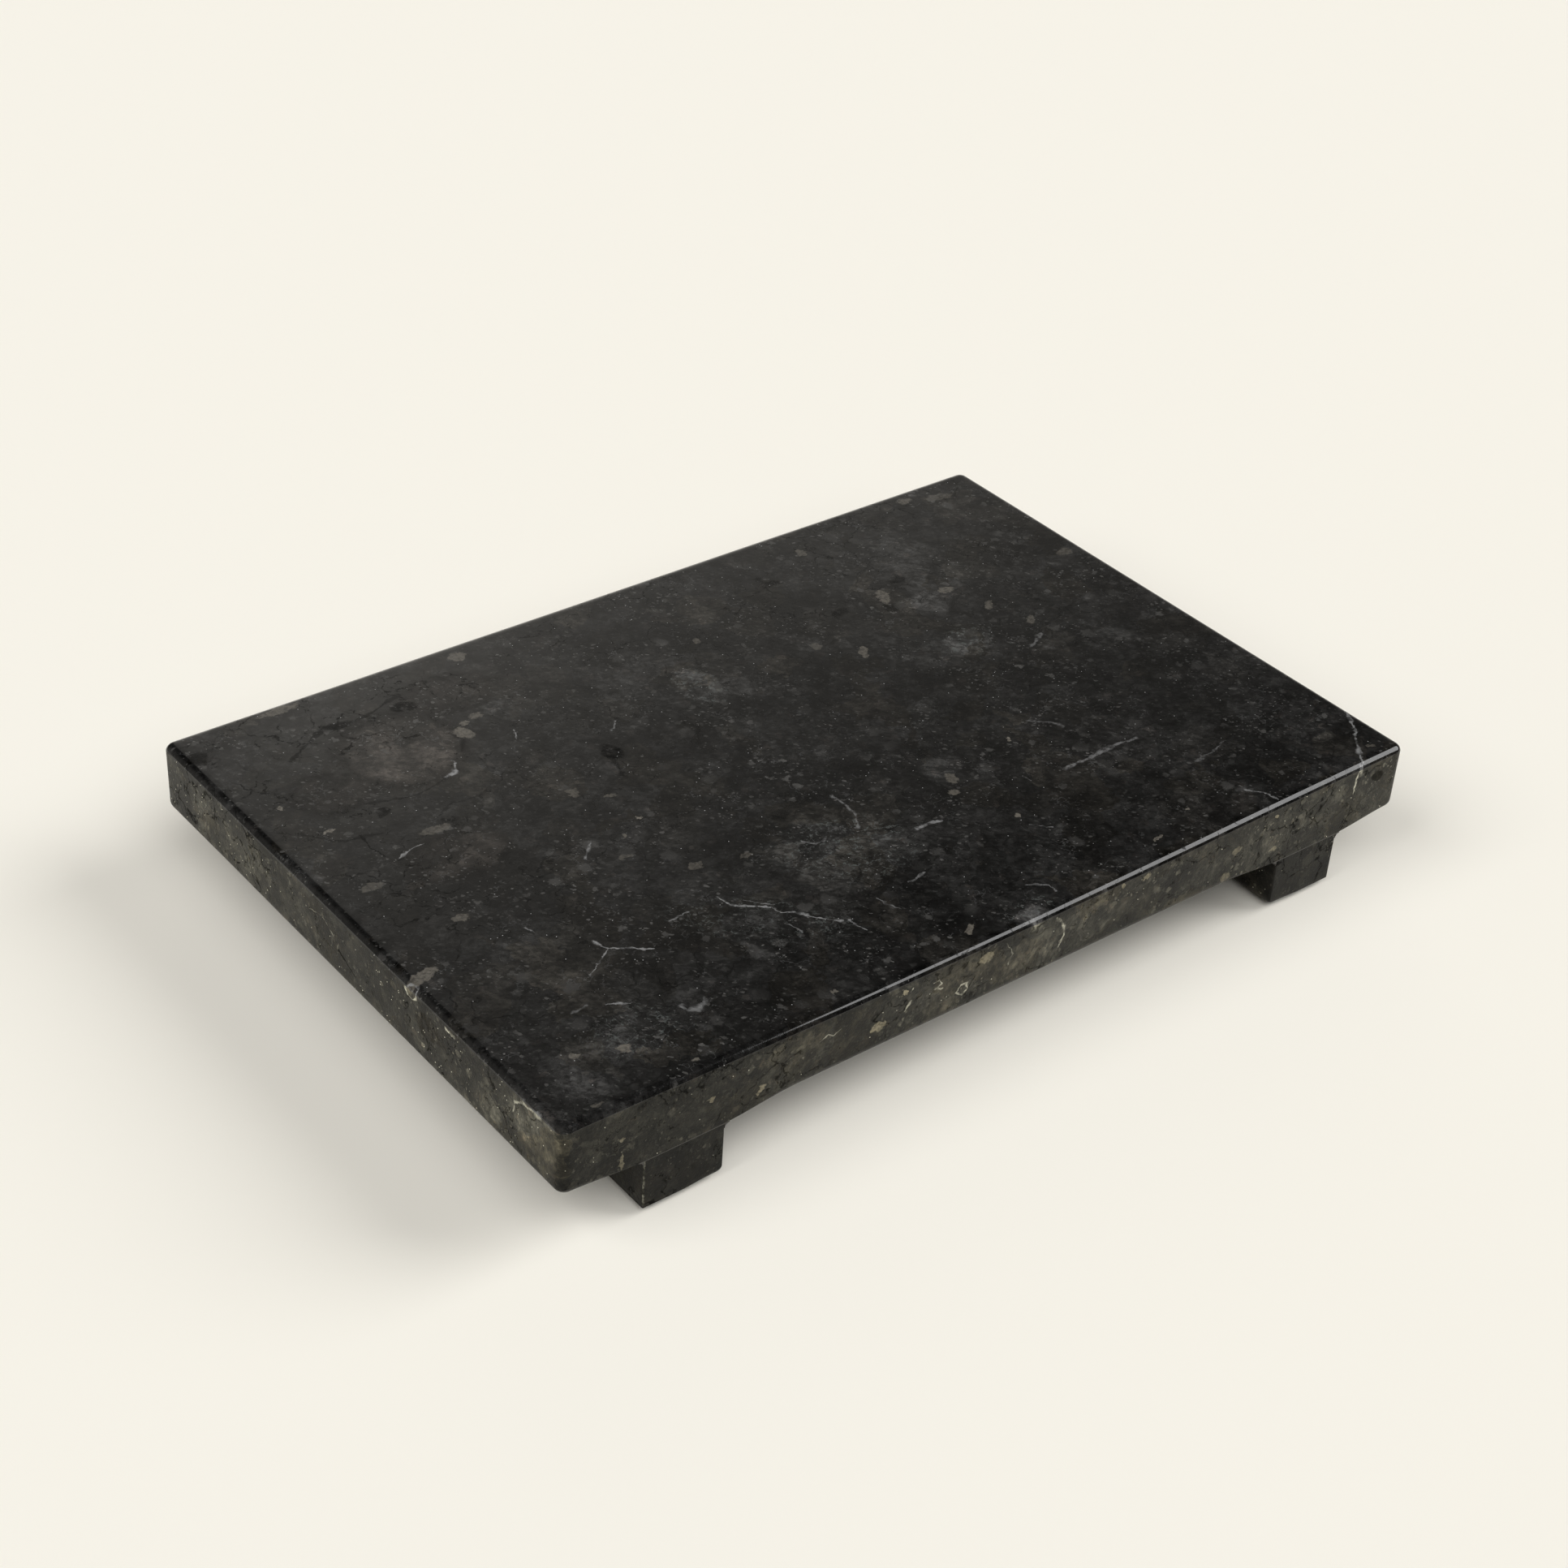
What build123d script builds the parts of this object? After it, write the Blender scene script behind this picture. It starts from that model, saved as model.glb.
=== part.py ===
from build123d import *
import os

# Footed stone tray: a polished slab bonded onto two stone runners, which stand on soft pads.
# Frame: +X along the tray's length, +Y towards its back, +Z up, in millimetres. The origin is
# the middle of the plane that the pads stand on.

# Slab
length = 300.0
width = 200.0
slab_thickness = 22.0
corner_radius = 3.2  # upright corners
top_edge_radius = 2.5  # polished round along the top edge
bottom_edge_radius = 3.0  # worn-looking round along the lower edge

# Runners: battens across the full width, with their ends ground flush with the slab
runner_width = 25.0
runner_height = 16.0
overhang = 25.0  # from the slab's end face to the runner's outer side, which leaves the grip
runner_corner_radius = 1.0  # upright corners
runner_foot_radius = 1.2  # lower edges

# Epoxy joint: a thin layer, with a hollow bead along both long sides of the runner
bond_thickness = 0.3
bead_radius = 1.5

# Self-adhesive pads under the ends of the runners
pad_diameter = 12.0
pad_thickness = 1.5
pad_edge_radius = 0.4
pad_setback = 16.0  # from the runner's end face to the pad's centre

# Heights, from the resting plane up
runner_bottom = pad_thickness
runner_top = runner_bottom + runner_height
slab_bottom = runner_top + bond_thickness

# Places
runner_x = length / 2 - overhang - runner_width / 2
pad_y = width / 2 - pad_setback
seat_width = runner_width + 2 * bead_radius

os.makedirs("parts", exist_ok=True)

# Slab. Its lower edge is rounded, except above the runners, where slab and runner are one flush face.
with BuildPart() as slab:
    with BuildSketch(Plane.XY.offset(slab_bottom)):
        RectangleRounded(length, width, corner_radius)
    extrude(amount=slab_thickness)
    fillet(slab.edges().group_by(Axis.Z)[-1], top_edge_radius)
    fillet(slab.edges().group_by(Axis.Z)[0], bottom_edge_radius)
    with BuildSketch(Plane.XY.offset(slab_bottom)):
        with Locations((-runner_x, 0), (runner_x, 0)):
            Rectangle(seat_width, width)
    extrude(amount=bottom_edge_radius)

slab.part.label = "slab"
export_step(slab.part, "parts/slab.step")

for side, x in (("left", -runner_x), ("right", runner_x)):
    with BuildPart() as runner:
        with BuildSketch(Plane.XY.offset(runner_bottom)):
            with Locations((x, 0)):
                RectangleRounded(runner_width, width, runner_corner_radius)
        extrude(amount=runner_height)
        fillet(runner.edges().group_by(Axis.Z)[0], runner_foot_radius)

    runner.part.label = f"{side}_runner"
    export_step(runner.part, f"parts/{side}_runner.step")

    # Epoxy layer over the runner's top, and the bead in each inner corner under the slab.
    with BuildPart() as bond:
        with BuildSketch(Plane.XY.offset(runner_top)):
            with Locations((x, 0)):
                Rectangle(seat_width, width)
        extrude(amount=bond_thickness)
        for direction in (-1, 1):
            runner_side = x + direction * runner_width / 2
            bead_tip = (runner_side + direction * bead_radius, runner_top)
            bead_corner = (runner_side, runner_top)
            bead_foot = (runner_side, runner_top - bead_radius)
            with BuildSketch(Plane.XZ.offset(-width / 2)):
                with BuildLine():
                    Line(bead_corner, bead_tip)
                    RadiusArc(bead_tip, bead_foot, -direction * bead_radius)
                    Line(bead_foot, bead_corner)
                make_face()
            extrude(amount=width)

    bond.part.label = f"{side}_epoxy_bond"
    export_step(bond.part, f"parts/{side}_epoxy_bond.step")

    for end, y in (("front", -pad_y), ("back", pad_y)):
        with BuildPart() as pad:
            with BuildSketch():
                with Locations((x, y)):
                    Circle(pad_diameter / 2)
            extrude(amount=pad_thickness)
            fillet(pad.edges().group_by(Axis.Z)[0], pad_edge_radius)

        pad.part.label = f"{side}_{end}_pad"
        export_step(pad.part, f"parts/{side}_{end}_pad.step")
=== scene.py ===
import math

import bmesh
import bpy
from mathutils import Matrix, Quaternion, Vector, noise


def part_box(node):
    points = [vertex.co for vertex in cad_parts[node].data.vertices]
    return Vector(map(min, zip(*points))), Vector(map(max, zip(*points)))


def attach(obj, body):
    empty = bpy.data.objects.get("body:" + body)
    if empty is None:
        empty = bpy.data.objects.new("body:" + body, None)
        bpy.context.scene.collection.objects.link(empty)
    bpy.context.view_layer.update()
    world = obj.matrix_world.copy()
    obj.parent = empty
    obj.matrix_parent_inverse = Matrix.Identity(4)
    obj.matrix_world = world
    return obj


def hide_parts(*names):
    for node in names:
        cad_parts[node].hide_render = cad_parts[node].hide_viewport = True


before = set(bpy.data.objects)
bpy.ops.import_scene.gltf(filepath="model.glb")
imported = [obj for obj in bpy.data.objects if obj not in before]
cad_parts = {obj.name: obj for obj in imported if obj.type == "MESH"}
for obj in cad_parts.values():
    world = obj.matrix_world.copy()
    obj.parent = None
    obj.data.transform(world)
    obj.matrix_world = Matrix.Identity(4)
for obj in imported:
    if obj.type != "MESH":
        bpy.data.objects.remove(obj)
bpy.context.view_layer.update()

MM = 0.001

# ---------------------------------------------------------------- places, in millimetres, from the frame


def box_mm(node):
    """Lowest and highest corner of a CAD node, in millimetres."""
    low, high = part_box(node)
    return low / MM, high / MM


SLAB_LOW, SLAB_HIGH = box_mm("slab")
RUNNER_LOW, RUNNER_HIGH = box_mm("right_runner")
TOP = SLAB_HIGH.z
FRONT = SLAB_LOW.y
LEFT = SLAB_LOW.x
HALF_LENGTH = SLAB_HIGH.x
HALF_WIDTH = SLAB_HIGH.y
UNDERSIDE = SLAB_LOW.z

# ---------------------------------------------------------------- the hand-finished shape


def smooth(value, low, high):
    """0 below low, 1 above high, and an even S-curve between them."""
    t = min(max((value - low) / (high - low), 0.0), 1.0)
    return t * t * (3.0 - 2.0 * t)


FRONT_BOW = 1.3  # how far the top of the front face stands out at the middle of its length
FRONT_DIP = 0.7  # how far the polishing has rolled the top down there
BOW_MIDDLE = -25.0  # where along X both are greatest
SIDE_WAVE = 0.11  # how far the honed sides wander


def front_bow(x):
    """Share of the front's bow at x: 1 at its middle, 0 at both ends."""
    reach = HALF_LENGTH + BOW_MIDDLE if x < BOW_MIDDLE else HALF_LENGTH - BOW_MIDDLE
    t = min(abs(x - BOW_MIDDLE) / reach, 1.0)
    return math.cos(t * math.pi / 2) ** 1.5


def hand_finish(point):
    """Moves a point of the stone, in millimetres, as hand grinding and polishing left it."""
    x, y, z = point
    bow = front_bow(x)
    height = smooth(z, UNDERSIDE, TOP)
    y -= FRONT_BOW * bow * height * smooth(-y, -HALF_WIDTH, HALF_WIDTH)
    z -= FRONT_DIP * bow * smooth(-y, 0.55 * HALF_WIDTH, HALF_WIDTH) * smooth(z, UNDERSIDE + 8.0, TOP)
    side = Vector((x / 38.0, y / 38.0, z / 24.0))
    wave = noise.noise_vector(side)
    on_side = 1.0 - smooth(min(HALF_LENGTH - abs(x), HALF_WIDTH - abs(y)), 0.0, 4.0)
    x += SIDE_WAVE * wave.x * on_side
    y += SIDE_WAVE * wave.y * on_side
    return x, y, z


OPEN_RADIUS, HELD_RADIUS = 3.0, 0.06  # rounding of the slab's lower edge, in the open and at a runner
RADIUS_FADE = 24.0  # how far from a runner the lower edge is fully rounded again
END_FACE = 6.0  # width of the strip, along the front and the back, that the runners reach


def worn_radius(x, y):
    """Radius of the slab's lower edge, which fades out where a runner kept the tool away."""
    if abs(y) < HALF_WIDTH - END_FACE:
        return OPEN_RADIUS
    gap = max(RUNNER_LOW.x - abs(x), abs(x) - RUNNER_HIGH.x)
    return HELD_RADIUS + (OPEN_RADIUS - HELD_RADIUS) * smooth(gap, -1.0, RADIUS_FADE)


# ---------------------------------------------------------------- mesh building


def outline(low, high, radius, spacing, corner_steps):
    """Points and outward normals around a rounded rectangle, anticlockwise from its front left corner."""
    ring = []
    corners = (
        (low.x + radius, low.y + radius, 180),
        (high.x - radius, low.y + radius, 270),
        (high.x - radius, high.y - radius, 0),
        (low.x + radius, high.y - radius, 90),
    )
    for index, (cx, cy, start) in enumerate(corners):
        for step in range(corner_steps + 1):
            angle = math.radians(start + 90 * step / corner_steps)
            normal = Vector((math.cos(angle), math.sin(angle)))
            ring.append((Vector((cx, cy)) + radius * normal, normal))
        next_x, next_y, _ = corners[(index + 1) % 4]
        angle = math.radians(start + 90)
        normal = Vector((round(math.cos(angle)), round(math.sin(angle))))
        here = Vector((cx, cy)) + radius * normal
        there = Vector((next_x, next_y)) + radius * normal
        count = max(1, round((there - here).length / spacing))
        for step in range(1, count):
            ring.append((here.lerp(there, step / count), normal))
    return ring


CREASE = 14  # degrees between faces from which an edge is shown crisp


def finish_mesh(name, mesh_data, slot, *nodes):
    """Makes the object, in metres, and lets it stand for its CAD nodes."""
    mesh_data.transform(Matrix.Scale(MM, 4))
    piece = bpy.data.objects.new(name, mesh_data)
    bpy.context.scene.collection.objects.link(piece)
    for polygon in mesh_data.polygons:
        polygon.use_smooth = True
    mesh_data.set_sharp_from_angle(angle=math.radians(CREASE))
    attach(piece, "root")
    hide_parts(*nodes)
    return piece


def loft(name, rings, shape):
    """Closed mesh through rings of equal count, from the top one down, with a fan in both end rings."""
    bm = bmesh.new()
    made = [[bm.verts.new(shape(point)) for point in ring] for ring in rings]
    for upper, lower in zip(made, made[1:]):
        for index in range(len(upper)):
            after = (index + 1) % len(upper)
            bm.faces.new((upper[index], lower[index], lower[after], upper[after]))
    for ring, flip in ((made[0], False), (made[-1], True)):
        middle = sum((v.co for v in ring), Vector()) / len(ring)
        hub = bm.verts.new(middle)
        for index in range(len(ring)):
            pair = (ring[index], ring[(index + 1) % len(ring)])
            bm.faces.new((hub, *pair) if not flip else (hub, *reversed(pair)))
    bmesh.ops.recalc_face_normals(bm, faces=bm.faces)
    mesh = bpy.data.meshes.new(name)
    bm.to_mesh(mesh)
    bm.free()
    return mesh


CORNER_RADIUS = 3.2
TOP_RADIUS = 2.5
ARRIS = math.radians(72)  # how far round the top edge goes before it meets the honed side in a crisp line
FILLET_STEPS = 12
SIDE_STEPS = 12


def slab_rings():
    """Rings of the slab, from the middle of its top, over both rounded edges, to the middle underneath."""
    edge = outline(SLAB_LOW, SLAB_HIGH, CORNER_RADIUS, 1.6, 8)
    rings = []
    shares = (0.03, 0.1, 0.2, 0.3, 0.4, 0.5, 0.6, 0.7, 0.8, 0.88, 0.94, 0.975, 0.99)
    inset = [(p - n * TOP_RADIUS) for p, n in edge]
    for share in shares:
        rings.append([(p.x * share, p.y * share, TOP) for p in inset])
    for step in range(FILLET_STEPS + 1):
        angle = ARRIS * step / FILLET_STEPS
        depth = TOP_RADIUS * (1 - math.sin(angle) / math.sin(ARRIS))
        drop = TOP_RADIUS * (1 - math.cos(angle))
        rings.append([((p - n * depth).x, (p - n * depth).y, TOP - drop) for p, n in edge])
    lowest = [worn_radius(p.x, p.y) for p, n in edge]
    start = TOP - TOP_RADIUS * (1 - math.cos(ARRIS))
    for step in range(1, SIDE_STEPS):
        share = step / SIDE_STEPS
        rings.append(
            [(p.x, p.y, start + (UNDERSIDE + r - start) * share) for (p, n), r in zip(edge, lowest)]
        )
    for step in range(FILLET_STEPS + 1):
        angle = math.radians(90 * step / FILLET_STEPS)
        ring = []
        for (p, n), r in zip(edge, lowest):
            q = p - n * r * (1 - math.cos(angle))
            ring.append((q.x, q.y, UNDERSIDE + r * (1 - math.sin(angle))))
        rings.append(ring)
    for share in reversed(shares[:-1]):
        rings.append([(p.x * share, p.y * share, UNDERSIDE) for p in inset])
    return rings


def make_slab():
    mesh = loft("slab_stone", slab_rings(), hand_finish)
    return finish_mesh("slab_stone", mesh, "slab_stone", "slab")


RUNNER_CORNER = 0.5
FOOT_OUTER, FOOT_INNER, FOOT_END = 0.5, 2.2, 1.0  # rounding of its foot: outer side, inner side, ends
FOOT_STEPS = 8


def make_runner(side):
    """A batten with crisp upright edges and a foot that is rubbed rounder on its inner side."""
    low, high = box_mm(f"{side}_runner")
    middle = (low.x + high.x) / 2
    width, half_depth = high.x - low.x, (high.y - low.y) / 2
    edge = [p for p, n in outline(low, high, RUNNER_CORNER, 1.0, 8)]
    inner = -1 if middle > 0 else 1
    left, right = (FOOT_INNER, FOOT_OUTER) if middle > 0 else (FOOT_OUTER, FOOT_INNER)

    def foot(p):
        return FOOT_OUTER + (FOOT_INNER - FOOT_OUTER) * smooth(inner * (p.x - middle), 0.0, width / 2)

    def narrowed(p, share):
        """A point of the outline, drawn in by that share of the rounding on its side."""
        across = (p.x - low.x) / width
        x = low.x + left * share + across * (width - (left + right) * share)
        return x, p.y * (1 - FOOT_END * share / half_depth)

    def shrunk(ring, share):
        center = sum(x for x, y, z in ring) / len(ring)
        return [(center + (x - center) * share, y * share, z) for x, y, z in ring]

    top = [(p.x, p.y, high.z) for p in edge]
    rings = [shrunk(top, share) for share in (0.1, 0.4, 0.7, 0.9)]
    for step in range(SIDE_STEPS + 1):
        drop = step / SIDE_STEPS
        rings.append([(p.x, p.y, high.z + (low.z + foot(p) - high.z) * drop) for p in edge])
    for step in range(1, FOOT_STEPS + 1):
        angle = math.radians(90 * step / FOOT_STEPS)
        share, rise = 1 - math.cos(angle), 1 - math.sin(angle)
        rings.append([(*narrowed(p, share), low.z + foot(p) * rise) for p in edge])
    bottom = rings[-1]
    rings += [shrunk(bottom, share) for share in (0.9, 0.7, 0.4, 0.1)]
    mesh = loft(f"{side}_runner_stone", rings, hand_finish)
    return finish_mesh(f"{side}_runner_stone", mesh, "runner_stone", f"{side}_runner")


# ---------------------------------------------------------------- materials


class Graph:
    """Short calls for a node tree. Every argument is a number, a tuple or another node's output."""

    def __init__(self, tree):
        self.tree = tree

    def node(self, kind, **settings):
        made = self.tree.nodes.new(kind)
        for key, value in settings.items():
            setattr(made, key, value)
        return made

    def put(self, socket, value):
        if isinstance(value, bpy.types.NodeSocket):
            self.tree.links.new(value, socket)
        elif value is not None:
            socket.default_value = value

    def math(self, operation, a, b=None, c=None):
        made = self.node("ShaderNodeMath", operation=operation)
        for socket, value in zip(made.inputs, (a, b, c)):
            self.put(socket, value)
        return made.outputs[0]

    def vector(self, operation, a, b=None, scale=None):
        made = self.node("ShaderNodeVectorMath", operation=operation)
        self.put(made.inputs[0], a)
        self.put(made.inputs[1], b)
        self.put(made.inputs[3], scale)
        return made.outputs[1 if operation in ("LENGTH", "DOT_PRODUCT", "DISTANCE") else 0]

    def noise(self, where, scale, detail=4.0, roughness=0.55, output="Fac"):
        made = self.node("ShaderNodeTexNoise")
        self.put(made.inputs["Vector"], where)
        for key, value in (("Scale", scale), ("Detail", detail), ("Roughness", roughness)):
            self.put(made.inputs[key], value)
        return made.outputs[output]

    def cells(self, where, scale, feature="F1"):
        """Outputs of a cell pattern, by name: Distance, and for F1 also a random Color for each cell."""
        made = self.node("ShaderNodeTexVoronoi", feature=feature)
        self.put(made.inputs["Vector"], where)
        self.put(made.inputs["Scale"], scale)
        return made.outputs

    def ramp(self, value, low, high, out_low=0.0, out_high=1.0):
        made = self.node("ShaderNodeMapRange", interpolation_type="SMOOTHSTEP", clamp=False)
        for socket, number in zip(made.inputs, (value, low, high, out_low, out_high)):
            self.put(socket, number)
        return made.outputs[0]

    def mix(self, factor, a, b, blend="MIX"):
        made = self.node("ShaderNodeMix", data_type="RGBA", blend_type=blend)
        self.put(made.inputs["Factor"], factor)
        self.put(made.inputs[6], a)
        self.put(made.inputs[7], b)
        return made.outputs[2]

    def split(self, vector):
        made = self.node("ShaderNodeSeparateXYZ")
        self.put(made.inputs[0], vector)
        return made.outputs

    def join(self, x, y, z):
        made = self.node("ShaderNodeCombineXYZ")
        for socket, value in zip(made.inputs, (x, y, z)):
            self.put(socket, value)
        return made.outputs[0]

    def channels(self, colour):
        made = self.node("ShaderNodeSeparateColor")
        self.put(made.inputs[0], colour)
        return made.outputs

    def times(self, colour, factor):
        """Colour times factor, which may be over 1."""
        made = self.node("ShaderNodeMix", data_type="RGBA", clamp_factor=False)
        self.put(made.inputs["Factor"], factor)
        self.put(made.inputs[6], (0.0, 0.0, 0.0, 1.0))
        self.put(made.inputs[7], colour)
        return made.outputs[2]

    def product(self, *values):
        result = values[0]
        for value in values[1:]:
            result = self.math("MULTIPLY", result, value)
        return result

    def gather(self, operation, values):
        """MAXIMUM or MINIMUM of the values, each joined in as soon as it is made."""
        best = None
        for value in values:
            best = value if best is None else self.math(operation, best, value)
        return best


def grey(value, warmth=0.0):
    """Linear colour of that brightness, warmer as warmth rises."""
    return (value * (1 + warmth), value, value * (1 - 1.6 * warmth), 1.0)


def oval(g, where, u, v, half_length, half_width, angle, strength, soft):
    """Mask of an oval inclusion; the angle is in degrees."""
    offset = g.vector("SUBTRACT", where, (u, v, 0.0))
    if angle:
        cosine, sine = math.cos(math.radians(angle)), math.sin(math.radians(angle))
        along = g.vector("DOT_PRODUCT", offset, (cosine / half_length, sine / half_length, 0.0))
        across = g.vector("DOT_PRODUCT", offset, (-sine / half_width, cosine / half_width, 0.0))
        reach = g.math("MULTIPLY_ADD", across, across, g.math("MULTIPLY", along, along))
    else:
        scaled = g.vector("MULTIPLY", offset, (1 / half_length, 1 / half_width, 0.0))
        reach = g.vector("DOT_PRODUCT", scaled, scaled)
    return g.ramp(reach, 1.0 + soft, 1.0 - soft, 0.0, strength)


def soft_oval(g, where, _, *spot):
    return oval(g, where, *spot, soft=0.45)


def firm_oval(g, where, _, *spot):
    return oval(g, where, *spot, soft=0.3)


def vein(g, where, waist, points, width, strength):
    """Mask of a thin vein along runs between points: a warped place bends it, and waist thins it."""

    def distance(start, end):
        run = Vector((end[0] - start[0], end[1] - start[1], 0.0))
        from_start = g.vector("SUBTRACT", where, (start[0], start[1], 0.0))
        share = g.vector("DOT_PRODUCT", from_start, tuple(run / run.length_squared))
        share = g.math("MINIMUM", g.math("MAXIMUM", share, 0.0), 1.0)
        return g.vector("DISTANCE", from_start, g.vector("SCALE", tuple(run), scale=share))

    away = g.gather("MINIMUM", (distance(*pair) for pair in zip(points, points[1:])))
    return g.ramp(g.math("MULTIPLY", away, waist), width * 0.72, width * 0.12, 0.0, strength)


# The photo's larger marks, read off it and listed, in millimetres: (x, y) on the top,
# (x, z) on the front and (y, z) on the left end.
# A vein is its points, width and strength. An oval is its middle, half length, half width, angle, strength.

TOP_VEINS = (
    (((-110, -54.5), (-105.5, -51.5), (-100, -48), (-95.5, -51), (-90, -55)), 0.7, 0.9),
    (((-100, -48), (-101.3, -43)), 1.0, 0.9),
    (((-63.5, -46), (-62.5, -50.5), (-58.5, -54.5), (-54, -58)), 0.9, 0.9),
    (((-54, -58), (-53.5, -61), (-49, -64.5), (-46, -68.5), (-42, -72.5)), 0.8, 0.9),
    (((-58, -51), (-55.5, -55), (-52.5, -57.5)), 0.5, 0.6),
    (((-55, -66), (-53.5, -71)), 0.5, 0.5),
    (((-40, -73.5), (-39, -79)), 0.9, 0.8),
    (((-28, -70.5), (-25, -77.5)), 1.0, 0.5),
    (((-80, -47), (-73, -47.5)), 0.8, 0.6),
    (((-8, -26), (-7.5, -33), (-8.5, -38), (-11, -42)), 1.0, 0.5),
    (((-28.5, -38.5), (-26, -42), (-22, -41)), 1.1, 0.6),
    (((-16, -69.5), (-9, -68.5)), 0.9, 0.5),
    (((-76.5, -7), (-82, -12.5)), 1.0, 0.7),
    (((-113, -28.5), (-112, -32)), 0.7, 0.6),
    (((56, -53), (70, -52.5), (78, -52), (85, -53)), 1.4, 0.5),
    (((64, -28), (70, -32.5), (71.5, -36)), 1.4, 0.35),
    (((2, -52), (7.5, -51.5), (10.5, -52.5)), 1.2, 0.8),
    (((10, -88), (15, -91.5), (15, -94.5)), 0.8, 0.6),
    (((93, -90), (97, -94), (98, -98.5)), 1.1, 0.7),
    (((150, -75), (144, -86), (140, -90), (134, -96), (131, -100)), 1.4, 0.75),
    (((91.5, -71), (101, -70), (106, -68)), 1.3, 0.4),
    (((30, -68), (34.5, -72)), 0.7, 0.5),
    (((44, -49), (44.5, -52)), 0.8, 0.6),
    (((-93, 41), (-89.5, 41.5), (-87, 45.5), (-87, 47)), 1.2, 1.0),
    (((-65.3, 46.3), (-63.8, 50.7)), 0.7, 0.8),
    (((-39.7, 34.8), (-36.3, 38.2)), 1.2, 0.9),
    (((-123.5, 15.5), (-120, 17), (-115, 17.5)), 0.9, 0.8),
    (((93.5, 2), (101, 6.5)), 1.8, 0.4),
    (((-113.5, -66.5), (-108, -69.5)), 1.0, 0.9),
    (((-123, -65), (-118, -64)), 0.8, 0.35),
    (((-98, -77), (-97.5, -79.5), (-95, -81), (-92, -80), (-91, -78)), 1.9, 0.5),
)

TOP_FOSSILS = (
    (-145.5, -31, 4.8, 2.0, 12, 0.8),
    (-119.5, -83, 2.0, 1.6, 0, 1.0),
    (-131.5, -79, 1.3, 1.0, 0, 0.8),
    (-107.5, -96.5, 1.3, 0.7, 0, 0.9),
    (-137, -96.5, 1.6, 0.8, 0, 0.5),
    (-59.5, -31.5, 2.4, 1.5, 0, 0.5),
    (-124.5, -16, 2.6, 1.2, -10, 0.6),
    (-73, -17.5, 2.1, 1.0, 0, 0.45),
    (-59, -4.5, 0.7, 0.6, 0, 1.3),
    (-67.5, -9.5, 0.7, 1.1, 0, 0.7),
    (-45, -36, 2.0, 1.2, 0, 0.4),
    (-61.5, -94.5, 1.0, 0.6, 0, 0.8),
    (-15.5, -94, 2.3, 1.1, 35, 0.9),
    (26, -38.5, 1.6, 2.2, 0, 0.6),
    (22.5, -44.5, 1.6, 1.0, 0, 0.7),
    (53, -32.5, 0.7, 1.1, 0, 1.2),
    (55.5, -92.5, 1.8, 0.6, 15, 0.9),
    (72, -87.2, 0.7, 0.5, 0, 0.9),
    (141, -94.5, 1.6, 0.8, -20, 0.6),
    (30, -63, 0.8, 0.7, 0, 1.0),
    (-76.5, 57.5, 2.4, 3.2, 15, 0.8),
    (-73.5, 61.5, 1.4, 1.2, 0, 0.8),
    (-69, 62.5, 2.2, 1.6, 0, 0.6),
    (-56, 93, 3.0, 2.2, 0, 0.6),
    (-115, 96.5, 6.5, 1.8, 0, 0.6),
    (-108.5, 21.5, 4.6, 1.8, 0, 0.5),
    (-136.5, 8.5, 3.2, 1.8, 0, 0.4),
    (-138.5, 54, 0.8, 1.1, 0, 1.0),
    (-133, 36.5, 1.8, 0.6, 0, 1.1),
    (-67.5, 15.5, 1.6, 2.0, 0, 0.5),
    (-59.5, 8, 2.0, 1.0, -20, 0.5),
    (93.5, 42.5, 2.6, 1.8, 0, 0.7),
    (74, 50, 4.0, 1.8, 60, 0.7),
    (48, 28, 3.2, 1.4, 50, 0.7),
    (99, 28, 2.4, 1.4, 45, 0.6),
    (104, 14, 2.6, 1.6, 45, 0.5),
    (142, 40, 3.0, 2.2, 0, 0.4),
    (119.5, 94, 2.6, 1.4, 0, 0.6),
    (131, 90, 5.6, 2.2, -10, 0.35),
    (69.5, 85.5, 1.6, 2.2, 0, 0.5),
    (9.5, 61, 1.2, 1.8, 0, 0.5),
    (38, 38.5, 1.4, 2.2, 0, 0.4),
)

# Paler clasts and soft pale areas, as a share added to the stone's own tone
TOP_PALE = (
    (-117, -44, 15, 19, 0, 0.5),
    (-114, -79, 9, 8, 0, 1.2),
    (-31, -55.5, 9, 8, 0, 1.5),
    (-22, -46, 19, 16, -25, 0.9),
    (-10, -49, 5, 3, 0, 1.8),
    (-26, -63, 5, 3, 0, 1.5),
    (27, -32, 7, 4.5, 0, 0.8),
    (4, -6.5, 3, 2.5, 0, 0.9),
    (3, -98, 5, 2.5, 0, 2.2),
    (89, -93, 7, 3.5, 35, 1.3),
    (121.5, -74.5, 4.5, 2, 0, 0.9),
    (118.5, -35.5, 2.5, 1.5, 0, 0.9),
    (116, -8, 9, 6, 0, 0.8),
    (37, -73.5, 2.5, 1.5, 0, 0.9),
    (102, -78.5, 3, 2, 0, 0.8),
    (132, -83.5, 3, 2, 0, 0.8),
    (-69, -70, 2, 5, 15, 0.9),
    (-5.5, 40, 6, 10, 0, 1.7),
    (97, 58, 11, 19, 0, 0.9),
    (84, 40, 11, 6, 0, 1.3),
    (79.5, 15, 8, 6, 0, 1.3),
    (12, 26, 3, 3.5, 0, 0.9),
    (5, 34, 4, 8, -20, 0.8),
    (46, 36, 1.5, 4.5, 0, 0.9),
    (48, 92, 2.5, 5, 0, 0.8),
    (116, 76, 5, 3.5, 35, 0.7),
    (-62, 64.5, 3, 2.5, 0, 0.9),
    (-40, 94, 9, 2.5, 0, 0.7),
    (-89, 23, 3, 2.5, 0, 0.8),
    (-132, -84, 9, 11, -30, 0.6),
)

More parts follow.
